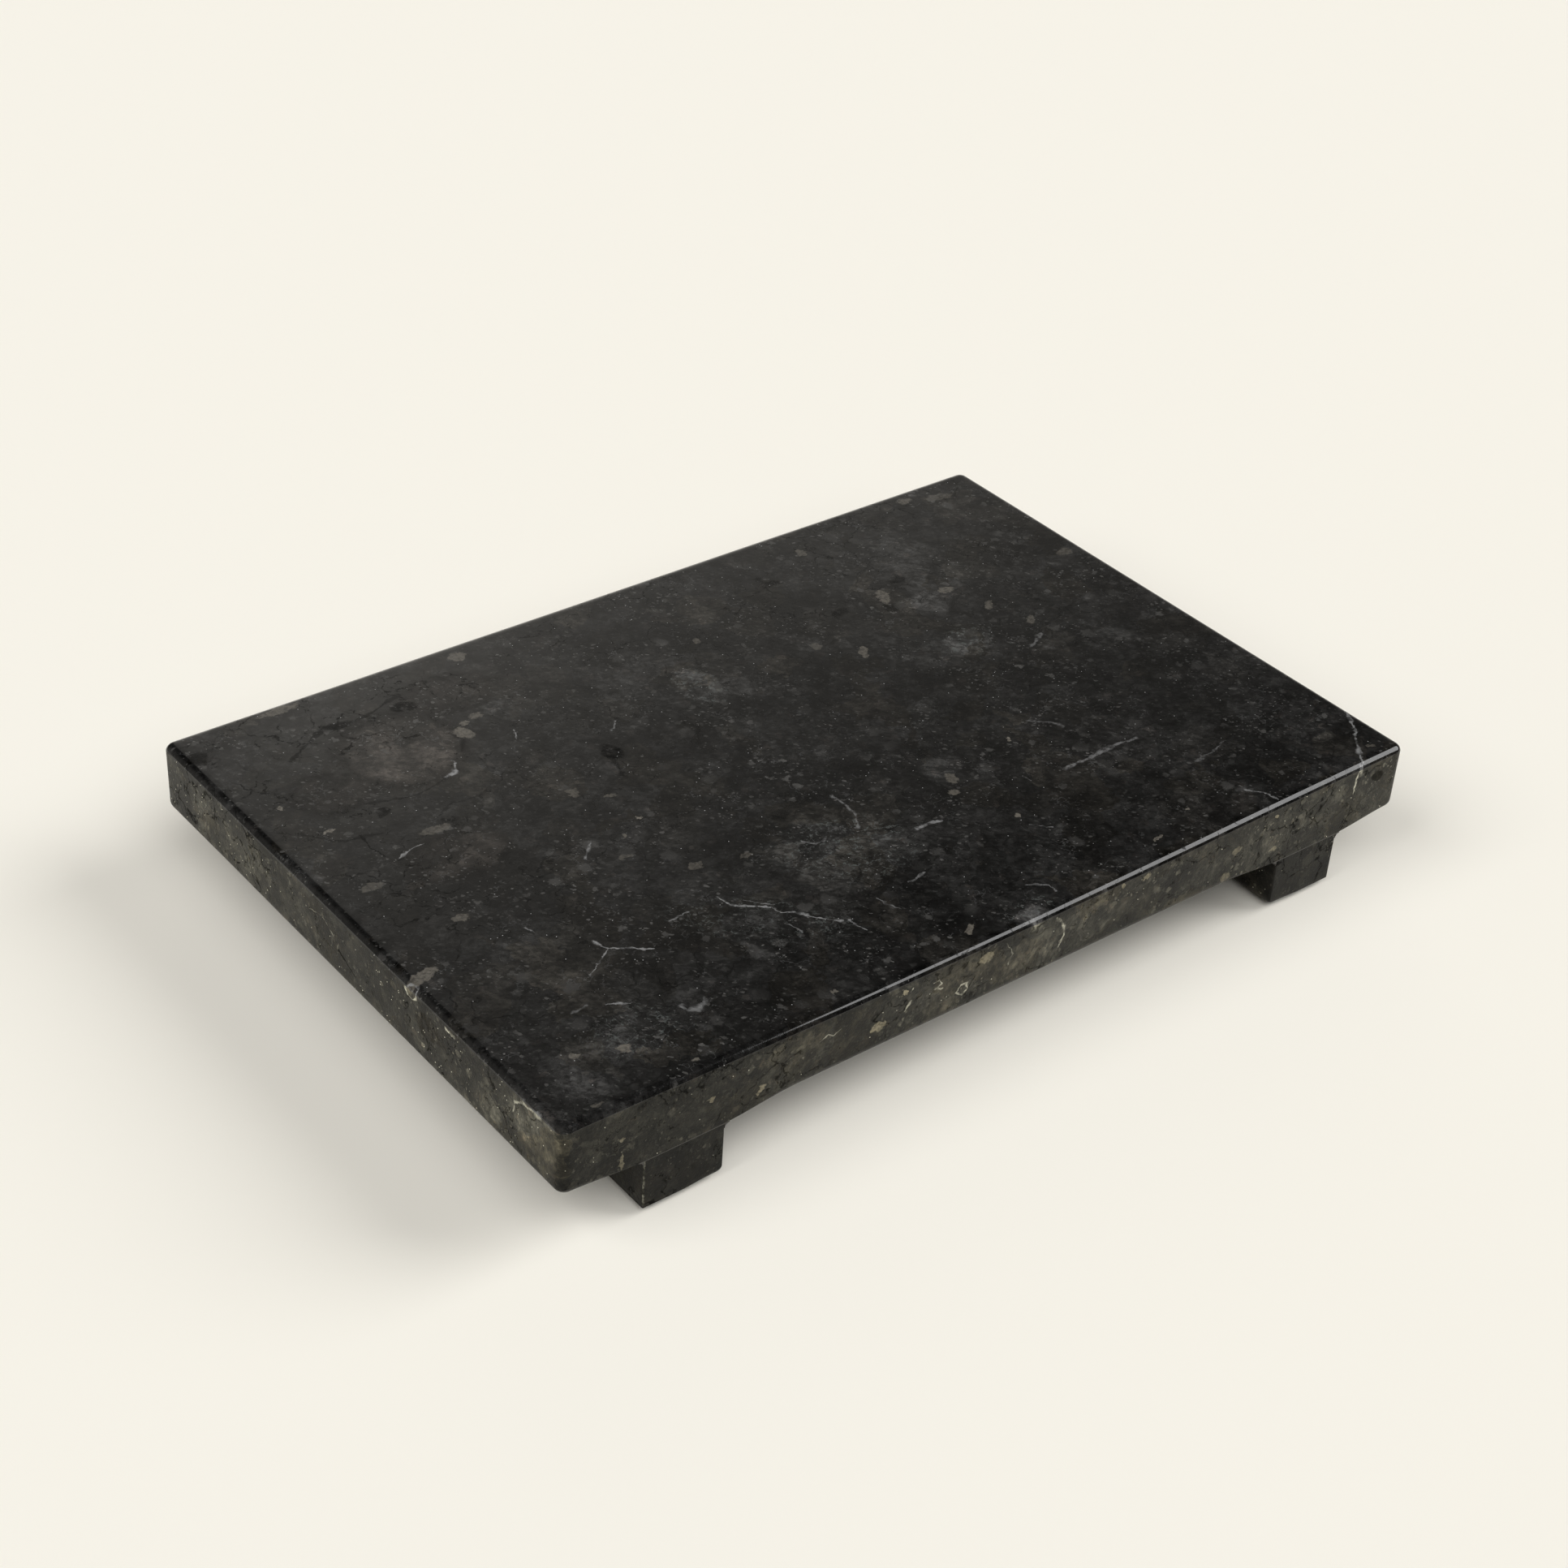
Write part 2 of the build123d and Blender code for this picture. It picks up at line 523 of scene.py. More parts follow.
TOP_BROWN = (
    (-96, 60, 18, 18, 0, 1.0),
    (-123, 52, 12, 10, 0, 0.7),
    (-70, 77, 15, 10, 0, 0.7),
    (-110, 8, 15, 10, 0, 0.8),
    (88, -94, 6, 3, 30, 0.3),
    (-126, 3, 3.5, 2, 0, 1.0),
)

TOP_DARK = (
    (-15, -23, 7.5, 3.5, 0, 0.75),
    (-25.5, -25.5, 3, 2.5, 0, 0.8),
    (29, -24, 4, 2.5, 0, 0.8),
    (-47, 26, 2.8, 4.6, 0, 1.1),
    (141, 12, 8, 13, 0, 0.5),
    (49, 75.5, 3, 2, 0, 0.8),
    (57, 50, 3, 2, 0, 0.8),
    (84, 56, 3, 2, 0, 0.8),
    (72, 44, 3, 2, 0, 0.8),
    (-105, 80, 5, 2, 0, 0.8),
    (-84, 78.5, 4, 2.2, 0, 0.8),
    (-145.5, 86.5, 3, 3, 0, 0.8),
    (-115.5, 36.5, 2.2, 1.8, 0, 0.8),
    (-3, -47.5, 2, 2, 0, 0.9),
    (-45, -84, 12, 5, 0, 0.5),
)

TOP_CRACKS = (
    (((-23, -55.5), (-24, -59), (-27.5, -61.5)), 1.5, 0.9),
    (((-127, 30), (-128, 24), (-126.5, 18)), 1.0, 0.9),
    (((-48, 23), (-51, 14)), 2.6, 1.0),
    (((-21, 27), (-19, 22), (-23, 16)), 2.2, 0.9),
    (((111.5, -2), (111.5, -8)), 1.6, 0.9),
    (((-118, 42), (-104, 38), (-88, 42)), 1.5, 0.6),
    (((-125, 72), (-110, 80), (-95, 80), (-82, 84)), 1.8, 0.7),
    (((-80, 60), (-79, 54), (-82, 50)), 1.6, 0.7),
    (((-105, 26), (-98, 30), (-90, 28), (-84, 31)), 1.4, 0.6),
    (((-140, 40), (-132, 30), (-122, 28)), 1.4, 0.6),
    (((-96, -10), (-90, -6), (-84, -8)), 1.4, 0.8),
)

# Swarms of curled shell scraps
TOP_SWARMS = (
    (-113, -79, 12, 9, 0, 1.0),
    (3, -97, 9, 4, 0, 1.0),
    (-20, -48, 20, 14, -20, 1.0),
    (-5.5, 40, 7, 11, 0, 1.0),
    (79.5, 15, 9, 7, 0, 1.0),
    (-60, -60, 26, 9, -40, 0.6),
)

FRONT_FOSSILS = (
    (-51, 26.8, 2.3, 1.9, 0, 0.9),
    (-89, 23.5, 1.8, 0.9, 30, 0.9),
    (-105, 28.5, 1.1, 0.9, 0, 0.7),
    (-132, 28.8, 0.9, 0.8, 0, 0.7),
    (-132, 20.8, 0.6, 2.5, 0, 0.6),
    (-15, 33.5, 2.5, 1.7, 0, 0.7),
    (-43, 35, 1.0, 0.9, 0, 1.3),
    (44, 36, 1.4, 0.8, 0, 0.6),
    (35, 36.6, 1.2, 0.7, 0, 0.6),
    (81, 29.3, 1.9, 1.4, 0, 0.35),
    (78, 21, 1.9, 1.5, 0, 0.35),
    (96, 35.8, 1.0, 0.7, 0, 0.6),
    (97.5, 23.5, 1.1, 0.9, 0, 0.5),
)

FRONT_VEINS = (
    (((-24.2, 25.5), (-23, 27.9), (-20.6, 27.6), (-19.8, 25.2), (-21.6, 23.6), (-24.2, 25.5)), 0.8, 0.9),
    (((-33.5, 33), (-31.6, 33.6), (-30.6, 31.8), (-32.2, 30.6), (-30.2, 29.6)), 0.7, 0.9),
    (((-41.8, 28), (-40.2, 30.6)), 0.7, 1.0),
    (((-41, 33.8), (-40.6, 35)), 0.6, 0.9),
    (((-71, 31), (-68.5, 32.4), (-66.5, 31.2), (-64, 32)), 0.5, 0.7),
    (((10, 36), (13.6, 32), (14, 28.5), (12.6, 24.8)), 1.0, 0.8),
    (((131, 39), (129.6, 35), (129, 30)), 1.1, 0.8),
    (((-8, 35.5), (-5, 31), (-6, 27)), 0.5, 0.5),
)

FRONT_PALE = (
    (-43, 28, 26, 8, 0, 0.4),
    (8, 28, 16, 7, 0, 0.3),
    (10, 25.8, 4, 3, 0, 0.6),
    (88, 28, 28, 9, 0, 0.25),
    (-90, 34, 20, 3, 0, 0.4),
)

LEFT_VEINS = (
    (
        ((-35, 37), (-34.4, 39), (-31.5, 39.2), (-29.6, 37.4), (-30.8, 35.4), (-34, 35.6), (-35, 37)),
        0.8,
        1.0,
    ),
    (((-53, 36.6), (-49, 37)), 1.0, 1.0),
    (((-92, 37.6), (-88, 38.2), (-84, 37.4)), 1.8, 0.7),
    (((-83, 37.2), (-80, 35), (-79, 31.6)), 1.1, 0.7),
    (((20, 32), (12, 34), (6, 30.5)), 0.5, 0.4),
)

LEFT_PALE = (
    (-69, 26, 6, 4.5, 0, 1.3),
    (-88, 33, 14, 7, 0, 0.9),
    (-24, 34.3, 1.2, 0.9, 0, 2.2),
    (-37, 24.8, 1.0, 0.8, 0, 2.0),
    (60, 28, 24, 8, 0, 0.4),
)

LEFT_CRACKS = ((((4, 27.8), (0, 26), (-5, 24.3)), 0.9, 0.9),)

FACES = {
    "top": {
        "pale": TOP_PALE,
        "brown": TOP_BROWN,
        "dark": TOP_DARK,
        "cracks": TOP_CRACKS,
        "swarms": TOP_SWARMS,
        "fossils": TOP_FOSSILS,
        "veins": TOP_VEINS,
    },
    "front": {
        "pale": FRONT_PALE,
        "dark": ((139, 32.8, 2.4, 2.0, 0, 0.8),),
        "fossils": FRONT_FOSSILS,
        "veins": FRONT_VEINS,
    },
    "left": {
        "pale": LEFT_PALE,
        "brown": ((-42, 31.8, 6.5, 3.2, 0, 0.5),),
        "cracks": LEFT_CRACKS,
        "veins": LEFT_VEINS,
    },
}


def placed_masks(face, kind, shape):
    """Node group for the strongest mask of that kind, which fades out a few mm behind the face."""
    tree = bpy.data.node_groups.new(f"{face}_{kind}", "ShaderNodeTree")
    tree.interface.new_socket("Place", in_out="INPUT", socket_type="NodeSocketVector")
    tree.interface.new_socket("Waist", in_out="INPUT", socket_type="NodeSocketFloat")
    tree.interface.new_socket("Mask", in_out="OUTPUT", socket_type="NodeSocketFloat")
    g = Graph(tree)
    place, waist = g.node("NodeGroupInput").outputs[:2]
    x, y, z = g.split(place)
    if face == "top":
        where, near = g.join(x, y, 0.0), g.ramp(z, TOP - 5.0, TOP - 2.0)
    elif face == "front":
        where, near = g.join(x, z, 0.0), g.ramp(y, FRONT + 4.5, FRONT + 1.5)
    else:
        where, near = g.join(y, z, 0.0), g.ramp(x, LEFT + 4.5, LEFT + 1.5)
    strongest = g.gather("MAXIMUM", (shape(g, where, waist, *spot) for spot in FACES[face][kind]))
    g.put(g.node("NodeGroupOutput").inputs[0], g.product(strongest, near))
    return tree


GRAIN_ALONG = (0.643, 0.766, 0.0)  # shell scraps lie across this direction


def warped_places(g, position):
    """The place pushed about by noise in several ways, so that nothing has a drawn outline."""
    fine_warp = g.vector("SUBTRACT", g.noise(position, 0.5, 3, 0.6, output="Color"), (0.5, 0.5, 0.5))
    broad_warp = g.vector("SUBTRACT", g.noise(position, 0.09, 3, 0.6, output="Color"), (0.5, 0.5, 0.5))
    steady = g.vector("MULTIPLY_ADD", broad_warp, (3.0, 3.0, 3.0))
    g.put(steady.node.inputs[2], position)
    crooked = g.vector("ADD", steady, g.vector("SCALE", fine_warp, scale=1.5))
    stretch = g.vector("DOT_PRODUCT", crooked, tuple(0.6 * Vector(GRAIN_ALONG)))
    return {
        "plain": position,
        "crooked": crooked,
        "rolled": g.vector("ADD", crooked, g.vector("SCALE", broad_warp, scale=11.0)),
        "around": g.vector("ADD", crooked, g.vector("SCALE", broad_warp, scale=3.0)),
        "torn": g.vector("ADD", crooked, g.vector("SCALE", fine_warp, scale=2.0)),
        "grained": g.vector("ADD", crooked, g.vector("SCALE", GRAIN_ALONG, scale=stretch)),
    }


def random_cracks(g, places, grain):
    """Dark seams, and joints between clasts where the stone is crazed."""
    position = places["plain"]
    crazed = g.ramp(g.noise(position, 0.045, 2), 0.47, 0.57)
    seams = g.math("ABSOLUTE", g.math("SUBTRACT", g.noise(position, 0.11, 5, 0.62), 0.5))
    seams = g.product(g.ramp(seams, 0.014, 0.004), g.ramp(g.noise(position, 0.08, 2), 0.48, 0.58))
    to_edge = g.cells(places["rolled"], 0.085, "DISTANCE_TO_EDGE")["Distance"]
    joints = g.product(g.ramp(to_edge, 0.045, 0.01), crazed)
    return g.product(g.math("MAXIMUM", seams, joints), g.ramp(grain, 0.42, 0.56))


def ground_colour(g, tone, places, grain, everywhere):
    """Colour from clouds, grain, clasts and cracks, and a mask of what the polish missed."""
    shade = g.ramp(g.noise(places["plain"], 0.03, 4, 0.6), 0.3, 0.7, 0.75, 1.35)
    shade = g.product(shade, g.ramp(g.noise(places["rolled"], 0.12, 4, 0.65), 0.3, 0.7, 0.55, 1.7))
    shade = g.product(shade, g.ramp(grain, 0.25, 0.75, 0.34, 2.05))
    clasts = g.channels(g.cells(places["rolled"], 0.08)["Color"])
    shade = g.product(shade, g.ramp(clasts[0], 0.1, 1.0, 0.72, 1.55))
    chips = g.channels(g.cells(places["crooked"], 0.42)["Color"])
    shade = g.product(shade, g.ramp(chips[1], 0.1, 1.0, 0.78, 1.32))

    pale = everywhere("pale", soft_oval, places["around"])
    shade = g.product(shade, g.math("ADD", 1.0, g.product(pale, g.ramp(grain, 0.3, 0.6, 0.9, 1.5))))
    dark = everywhere("dark", soft_oval, places["around"])
    dark = g.product(dark, g.ramp(grain, 0.4, 0.7, 1.0, 0.6))
    shade = g.product(shade, g.math("SUBTRACT", 1.0, g.product(dark, 0.75)))
    cracks = everywhere("cracks", vein, places["crooked"])
    cracks = g.math("MAXIMUM", cracks, random_cracks(g, places, grain))
    shade = g.product(shade, g.math("SUBTRACT", 1.0, g.product(cracks, 0.75)))
    pits = g.math("MAXIMUM", g.product(cracks, 0.75), dark)

    browned = everywhere("brown", soft_oval, places["around"])
    rim = g.product(browned, g.math("SUBTRACT", 1.0, browned), g.ramp(grain, 0.35, 0.6, 0.2, 1.0), 3.0)
    shade = g.product(shade, g.math("SUBTRACT", 1.0, g.product(rim, 0.8)))
    pits = g.math("MAXIMUM", pits, g.product(rim, 0.5))

    brown = g.product(g.ramp(chips[2], 0.85, 0.98), g.ramp(grain, 0.4, 0.6), 0.3)
    tint = g.mix(g.ramp(clasts[1], 0.6, 0.95), grey(tone, 0.02), grey(tone * 1.1, 0.09))
    colour = g.mix(brown, tint, (tone * 2.0, tone * 1.6, tone * 1.35, 1.0))
    colour = g.mix(browned, colour, (tone * 2.7, tone * 2.35, tone * 2.05, 1.0))
    return g.times(colour, shade), pits


# Random shell scraps: warped place, cells per mm, share of cells left empty, reach, brightness
SCRAPS = (
    ("torn", 0.13, 0.55, 0.3, 0.04),
    ("torn", 0.24, 0.55, 0.27, 0.055),
    ("grained", 0.42, 0.55, 0.27, 0.075),
    ("grained", 0.85, 0.72, 0.3, 0.1),
)


def with_debris(g, colour, places, grain, polished, everywhere):
    """Shell debris over the colour: scraps, hairlines, curls in the placed swarms, and specks."""
    position = places["plain"]
    swarm = g.ramp(g.noise(position, 0.05, 3), 0.4, 0.64, 0.18, 1.0)
    placed_swarm = everywhere("swarms", soft_oval, places["crooked"])
    swarm = g.product(g.math("MAXIMUM", swarm, placed_swarm), g.ramp(polished, 0.0, 1.0, 0.6, 1.0))
    for place, scale, share, reach, value in SCRAPS:
        scrap = g.cells(places[place], scale)
        rough_distance = g.math("MULTIPLY_ADD", grain, 0.5, scrap["Distance"])
        dice = g.channels(scrap["Color"])
        mask = g.ramp(rough_distance, reach + 0.31, reach + 0.17)
        mask = g.product(mask, g.ramp(dice[0], share, share + 0.1))
        mask = g.product(mask, swarm, g.ramp(dice[1], 0.2, 1.0, 0.15, 1.0))
        colour = g.mix(mask, colour, grey(value, 0.03))

    hair = g.math("ABSOLUTE", g.math("SUBTRACT", g.noise(position, 0.2, 3, 0.55), 0.5))
    hair = g.product(g.ramp(hair, 0.016, 0.004), g.ramp(g.noise(position, 0.17, 2), 0.52, 0.62), swarm)
    curls = g.math("ABSOLUTE", g.math("SUBTRACT", g.noise(places["crooked"], 0.4, 2, 0.5), 0.5))
    curls = g.product(g.ramp(curls, 0.045, 0.012), placed_swarm, g.ramp(grain, 0.48, 0.6))
    colour = g.mix(g.product(hair, 0.45), colour, grey(0.08))
    colour = g.mix(g.product(curls, 0.85), colour, (0.08, 0.088, 0.084, 1.0))

    speck = g.cells(position, 0.62)
    chosen = g.ramp(g.channels(speck["Color"])[0], 0.86, 0.9)
    speck_mask = g.product(g.ramp(speck["Distance"], 0.11, 0.06), chosen)
    return g.mix(g.product(speck_mask, 0.85), colour, grey(0.5))


def with_marks(g, colour, places, everywhere):
    """The placed fossils and white veins over the colour."""
    position = places["plain"]
    body = g.ramp(g.noise(position, 0.9, 3, 0.7), 0.36, 0.58, 0.5, 1.1)
    fossils = g.product(everywhere("fossils", firm_oval, places["torn"]), body, 0.8)
    colour = g.mix(fossils, colour, grey(0.13, 0.1))
    white = everywhere("veins", vein, places["crooked"])
    white = g.product(white, g.ramp(g.noise(position, 0.4, 3, 0.7), 0.36, 0.6, 0.15, 1.0))
    return g.mix(white, colour, grey(0.24))


def with_chips(g, colour, position, folded, corner, strength):
    """White chips over the colour, along the upright edges at corner; folded is the place without signs."""
    to_edge = g.vector("DISTANCE", folded, (corner[0], corner[1], 0.0))
    broken = g.math("MULTIPLY_ADD", g.noise(position, 0.9, 3, 0.7), 1.6, to_edge)
    stretches = g.ramp(g.noise(position, 0.3, 3, 0.6), 0.42, 0.56, 0.15, 1.0)
    chipped = g.product(g.ramp(broken, 1.25, 0.95), stretches, strength)
    return g.mix(chipped, colour, grey(0.22))


def stone_material(name, tone, honing_and_painted_light, corner, chip_strength, faces):
    """Dark fossil limestone: polished where it faces up, and paler elsewhere, partly from its honing and
    partly as painted light.

    The three paleness factors say how many times paler the sides are: at the left, at the right, and on the
    ends. The factor at the left is the honing; the rise towards the right and the extra on the ends are
    painted light, brighter where more light falls. The upright edges at corner, (x, y), are chipped. faces
    are the faces with placed marks.
    """
    material = bpy.data.materials.new(name)
    material.use_nodes = True
    tree = material.node_tree
    tree.nodes.clear()
    g = Graph(tree)
    coordinates = g.node("ShaderNodeTexCoord")
    position = g.vector("SCALE", coordinates.outputs["Object"], scale=1 / MM)
    across, _, up = g.split(g.node("ShaderNodeNewGeometry").outputs["Normal"])
    polished = g.ramp(up, 0.12, 0.25)
    places = warped_places(g, position)
    grain = g.noise(places["grained"], 0.42, 5, 0.72)
    waist = g.ramp(g.noise(position, 0.22, 3, 0.6), 0.35, 0.62, 2.6, 0.75)

    def everywhere(kind, shape, place):
        """Strongest of the placed masks of that kind over all faces."""

        def on(face):
            group = g.node("ShaderNodeGroup", node_tree=placed_masks(face, kind, shape))
            g.put(group.inputs[0], place)
            g.put(group.inputs[1], waist)
            return group.outputs[0]

        return g.gather("MAXIMUM", (on(face) for face in faces if kind in FACES[face])) or 0.0

    colour, pits = ground_colour(g, tone, places, grain, everywhere)
    colour = with_debris(g, colour, places, grain, polished, everywhere)
    if faces:
        colour = with_marks(g, colour, places, everywhere)
    x, y, _ = g.split(position)
    folded = g.join(g.math("ABSOLUTE", x), g.math("ABSOLUTE", y), 0.0)
    colour = with_chips(g, colour, position, folded, corner, chip_strength)

    # The sides are paler and olive from their honing; the paleness that grows towards the right and on the
    # ends is painted light
    lift_with_painted_light = g.ramp(x, -HALF_LENGTH, 0.85 * HALF_LENGTH, honing_and_painted_light[0], honing_and_painted_light[1])
    lift_with_painted_light = g.math("MAXIMUM", lift_with_painted_light, g.ramp(across, -0.5, -0.9, 0.0, honing_and_painted_light[2]))
    honed_colour_with_painted_light = g.mix(1.0, g.times(colour, lift_with_painted_light), (1.03, 1.0, 0.8, 1.0), blend="MULTIPLY")
    colour = g.mix(polished, honed_colour_with_painted_light, colour)
    gloss = g.ramp(g.noise(position, 0.05, 5, 0.6), 0.3, 0.7, 0.055, 0.09)
    dull = g.ramp(grain, 0.3, 0.7, 0.34, 0.48)
    roughness = g.math("MULTIPLY_ADD", polished, g.math("SUBTRACT", gloss, dull), dull)
    roughness = g.math("MULTIPLY_ADD", pits, 0.3, roughness)

    shader = g.node("ShaderNodeBsdfPrincipled")
    g.put(shader.inputs["Base Color"], colour)
    g.put(shader.inputs["Roughness"], roughness)
    unpitted = g.math("SUBTRACT", 1.0, g.product(pits, 0.8))
    g.put(shader.inputs["Specular IOR Level"], g.product(g.ramp(polished, 0.0, 1.0, 0.14, 0.5), unpitted))
    bump = g.node("ShaderNodeBump")
    g.put(bump.inputs["Height"], g.noise(position, 1.6, 4, 0.6))
    g.put(bump.inputs["Distance"], 0.12 * MM)
    g.put(bump.inputs["Strength"], g.ramp(polished, 0.0, 1.0, 0.7, 0.03))
    g.put(shader.inputs["Normal"], bump.outputs[0])
    g.put(g.node("ShaderNodeOutputMaterial").inputs[0], shader.outputs[0])
    return material


def plain_material(name, colours, scale, roughness, relief):
    """Glue or rubber: clouds and grain of two colours, and a third where it is rubbed or dusty."""
    material = bpy.data.materials.new(name)
    material.use_nodes = True
    tree = material.node_tree
    tree.nodes.clear()
    g = Graph(tree)
    position = g.vector("SCALE", g.node("ShaderNodeTexCoord").outputs["Object"], scale=1 / MM)
    clouds = g.noise(position, scale, 5, 0.65)
    grain = g.noise(position, scale * 9, 4, 0.7)
    colour = g.mix(g.ramp(clouds, 0.3, 0.7), colours[0], colours[1])
    colour = g.times(colour, g.ramp(grain, 0.25, 0.75, 0.6, 1.5))
    geometry = g.node("ShaderNodeNewGeometry")
    rubbed = g.product(g.ramp(geometry.outputs["Pointiness"], 0.51, 0.58), g.ramp(grain, 0.35, 0.6))
    dust = g.product(g.ramp(g.noise(position, scale * 3, 3), 0.52, 0.7), 0.25)
    colour = g.mix(g.math("MAXIMUM", g.product(rubbed, 0.6), dust), colour, colours[2])
    shader = g.node("ShaderNodeBsdfPrincipled")
    g.put(shader.inputs["Base Color"], colour)
    g.put(shader.inputs["Roughness"], g.ramp(clouds, 0.3, 0.7, *roughness))
    bump = g.node("ShaderNodeBump")
    g.put(bump.inputs["Height"], grain)
    g.put(bump.inputs["Distance"], relief * MM)
    g.put(bump.inputs["Strength"], 0.6)
    g.put(shader.inputs["Normal"], bump.outputs[0])
    g.put(g.node("ShaderNodeOutputMaterial").inputs[0], shader.outputs[0])
    return material


EPOXY_COLOURS = (grey(0.014, 0.05), grey(0.026, 0.1), grey(0.06, 0.08))
RUBBER_COLOURS = (grey(0.012), grey(0.022, 0.04), grey(0.09, 0.06))
epoxy = plain_material("stone_glue", EPOXY_COLOURS, 0.25, (0.35, 0.55), 0.08)
rubber = plain_material("pad_rubber_black", RUBBER_COLOURS, 0.5, (0.6, 0.85), 0.05)
for name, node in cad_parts.items():
    if name.endswith("_bond") or name.endswith("_pad"):
        node.data.materials.clear()
        node.data.materials.append(epoxy if name.endswith("_bond") else rubber)

# The runners' tone is lower than the slab's as painted shade: they are the same stone, painted darker where
# they stand low under the slab
SLAB_TONE, RUNNER_TONE_WITH_PAINTED_SHADE = 0.0056, 0.0048
slab_corner = (HALF_LENGTH, HALF_WIDTH)
runner_corner = (RUNNER_HIGH.x, RUNNER_HIGH.y)
# The slab's sides: 1.65 at the left is honing; the rise to 2.7 at the right and 2.4 on the ends is painted
# light
slab_material = stone_material(
    "fossil_limestone_slab", SLAB_TONE, (1.65, 2.7, 2.4), slab_corner, 0.3, ("top", "front", "left")
)
# The runners' material is the slab's stone painted darker, as painted shade; its rise to 1.1 at the right
# and 1.4 on the ends is painted light
runner_material_with_painted_shade = stone_material(
    "fossil_limestone_runner_painted_shade", RUNNER_TONE_WITH_PAINTED_SHADE, (1.0, 1.1, 1.4), runner_corner, 0.75, ()
)

make_slab().data.materials.append(slab_material)
for side in ("left", "right"):
    make_runner(side).data.materials.append(runner_material_with_painted_shade)

# ---------------------------------------------------------------- floor, light and camera

FLOOR_REACH = 6.0  # metres from the middle to each side
BACKDROP_RADIUS, BACKDROP_HEIGHT, BACKDROP_SIDES = 5.5, 9.0, 64


def stage_piece(name, points, faces):
    """A plain piece of the stage, with its material's shader."""
    mesh = bpy.data.meshes.new(name)
    mesh.from_pydata(points, [], faces)
    piece = bpy.data.objects.new(name, mesh)
    bpy.context.scene.collection.objects.link(piece)
    material = bpy.data.materials.new(f"pale_{name}")
    material.use_nodes = True
    mesh.materials.append(material)
    shader = material.node_tree.nodes["Principled BSDF"]
    shader.inputs["Specular IOR Level"].default_value = 0.0
    return piece, shader


r = FLOOR_REACH
floor, floor_shader = stage_piece("floor", [(-r, -r, 0), (r, -r, 0), (r, r, 0), (-r, r, 0)], [(0, 1, 2, 3)])
floor_shader.inputs["Base Color"].default_value = (0.93, 0.9, 0.82, 1.0)
floor_shader.inputs["Roughness"].default_value = 0.9

# A pale wall all around, which only the camera sees: it neither lights the tray nor shows in it
turns = [math.radians(360 * step / BACKDROP_SIDES) for step in range(BACKDROP_SIDES)]
wall = [
    (BACKDROP_RADIUS * math.cos(turn), BACKDROP_RADIUS * math.sin(turn), z)
    for z in (0.0, BACKDROP_HEIGHT)
    for turn in turns
]
panels = []
for here in range(BACKDROP_SIDES):
    after = (here + 1) % BACKDROP_SIDES
    panels.append((here, after, BACKDROP_SIDES + after, BACKDROP_SIDES + here))
backdrop, backdrop_shader = stage_piece("backdrop", wall, panels)
backdrop_shader.inputs["Base Color"].default_value = (0.0, 0.0, 0.0, 1.0)
backdrop_shader.inputs["Emission Color"].default_value = (0.93, 0.9, 0.81, 1.0)
backdrop_shader.inputs["Emission Strength"].default_value = 1.0
for kind in ("diffuse", "glossy", "transmission", "shadow", "volume_scatter"):
    setattr(backdrop, f"visible_{kind}", False)


def sun(name, direction, strength, spread, mirrored):
    """A soft, even light from far away in that direction; the polish mirrors it only if mirrored."""
    data = bpy.data.lights.new(name, "SUN")
    data.energy = strength
    data.angle = math.radians(spread)
    lamp = bpy.data.objects.new(name, data)
    lamp.rotation_mode = "QUATERNION"
    lamp.rotation_quaternion = Vector(direction).to_track_quat("Z", "Y")
    lamp.visible_glossy = mirrored
    bpy.context.scene.collection.objects.link(lamp)


sun("key", (0.76, -0.33, 0.565), 1.7, 39, True)
sun("left_fill", (-0.7, 0.1, 0.7), 1.22, 40, False)
sun("front_fill", (-0.2, -0.6, 0.77), 1.28, 50, False)

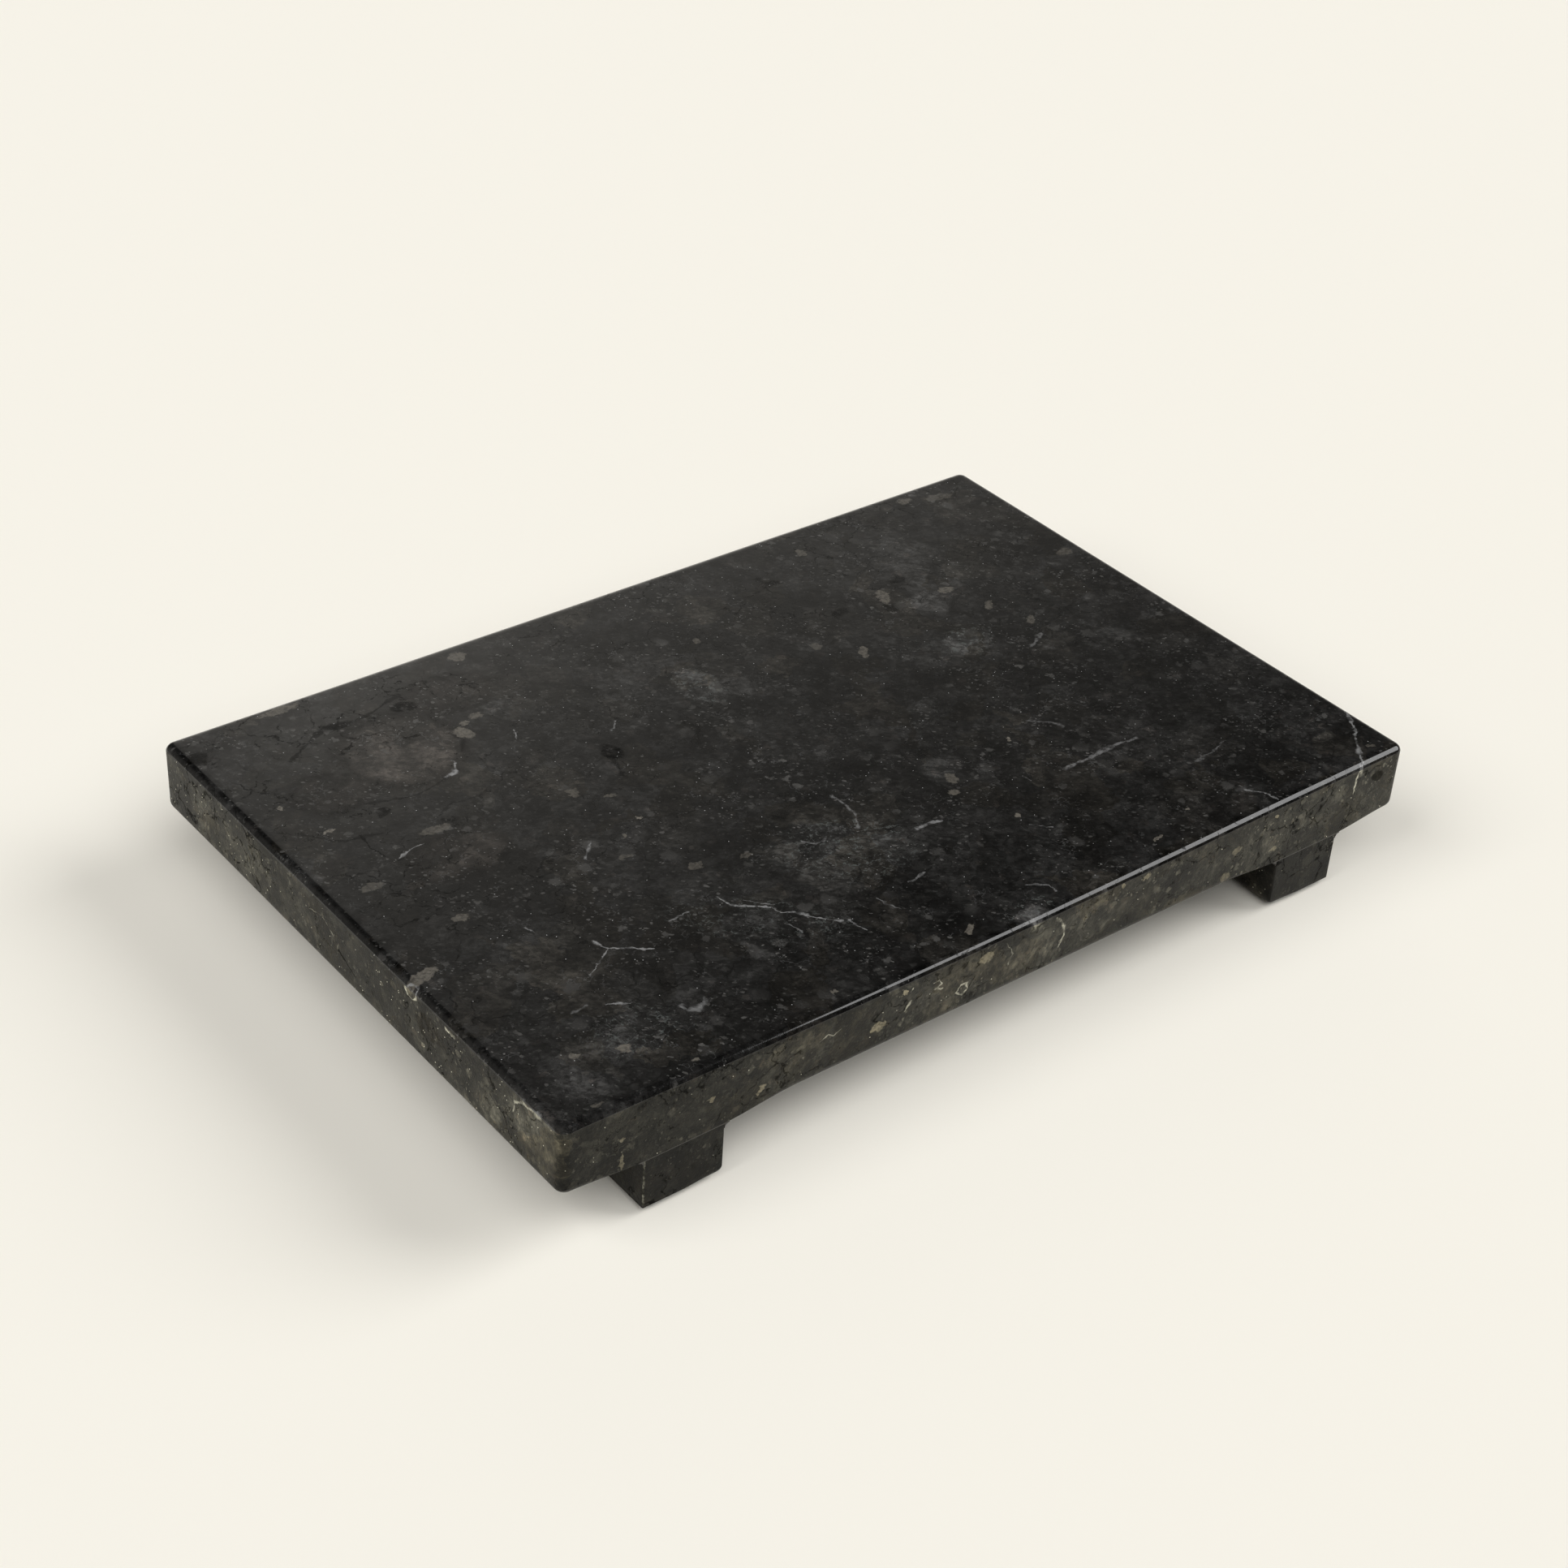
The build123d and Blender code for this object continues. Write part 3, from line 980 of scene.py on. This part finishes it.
# The sky: a glow behind the tray, with gains and losses in it that follow the photo's own reflections,
# and a weaker one from the left
GLOW_SPOTS = (
    ((0.479, 0.692, 0.54), 0.9995, 0.98, 0.5),
    ((0.56, 0.648, 0.52), 0.999, 0.99, -0.15),
    ((0.499, 0.626, 0.6), 0.999, 0.988, -0.3),
)
world = bpy.data.worlds.new("studio")
bpy.context.scene.world = world
world.use_nodes = True
world.node_tree.nodes.clear()
w = Graph(world.node_tree)
direction = w.node("ShaderNodeTexCoord").outputs["Generated"]
glow_axis = Vector((-0.196, 0.802, -0.565)).normalized()
towards = w.vector("DOT_PRODUCT", direction, tuple(glow_axis))
glow = w.product(w.ramp(towards, -0.117, 0.715, 0.0, 1.5), w.ramp(w.split(direction)[0], 0.2, 0.45))
for axis, narrow, wide, gain in GLOW_SPOTS:
    near = w.vector("DOT_PRODUCT", direction, tuple(Vector(axis).normalized()))
    glow = w.product(glow, w.ramp(near, wide, narrow, 1.0, 1.0 + gain))
side_glow = w.ramp(w.split(direction)[0], -0.1, -0.6, 0.02, 0.24)
level = w.math("ADD", side_glow, glow)
background = w.node("ShaderNodeBackground")
w.put(background.inputs["Color"], (1.0, 0.96, 0.88, 1.0))
w.put(background.inputs["Strength"], level)
w.tree.links.new(background.outputs[0], w.node("ShaderNodeOutputWorld").inputs[0])

# The camera that a fit to the outline in the photo gave
AZIMUTH, ELEVATION, ROLL = -40.05, 34.53, 3.66
DISTANCE = 0.8646
FOCAL_LENGTH = 64.8
aim = Vector((0.0202, 0.0284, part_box("left_runner")[0].z))
a, e = math.radians(AZIMUTH), math.radians(ELEVATION)
back = Vector((math.sin(a) * math.cos(e), -math.cos(a) * math.cos(e), math.sin(e)))
camera_data = bpy.data.cameras.new("camera")
camera_data.sensor_width = 36.0
camera_data.lens = FOCAL_LENGTH
camera = bpy.data.objects.new("camera", camera_data)
camera.location = aim + back * DISTANCE
camera.rotation_mode = "QUATERNION"
level_view = (-back).to_track_quat("-Z", "Y")
camera.rotation_quaternion = level_view @ Quaternion((0.0, 0.0, 1.0), math.radians(ROLL))
bpy.context.scene.collection.objects.link(camera)
bpy.context.scene.camera = camera
bpy.context.scene.view_settings.view_transform = "Standard"
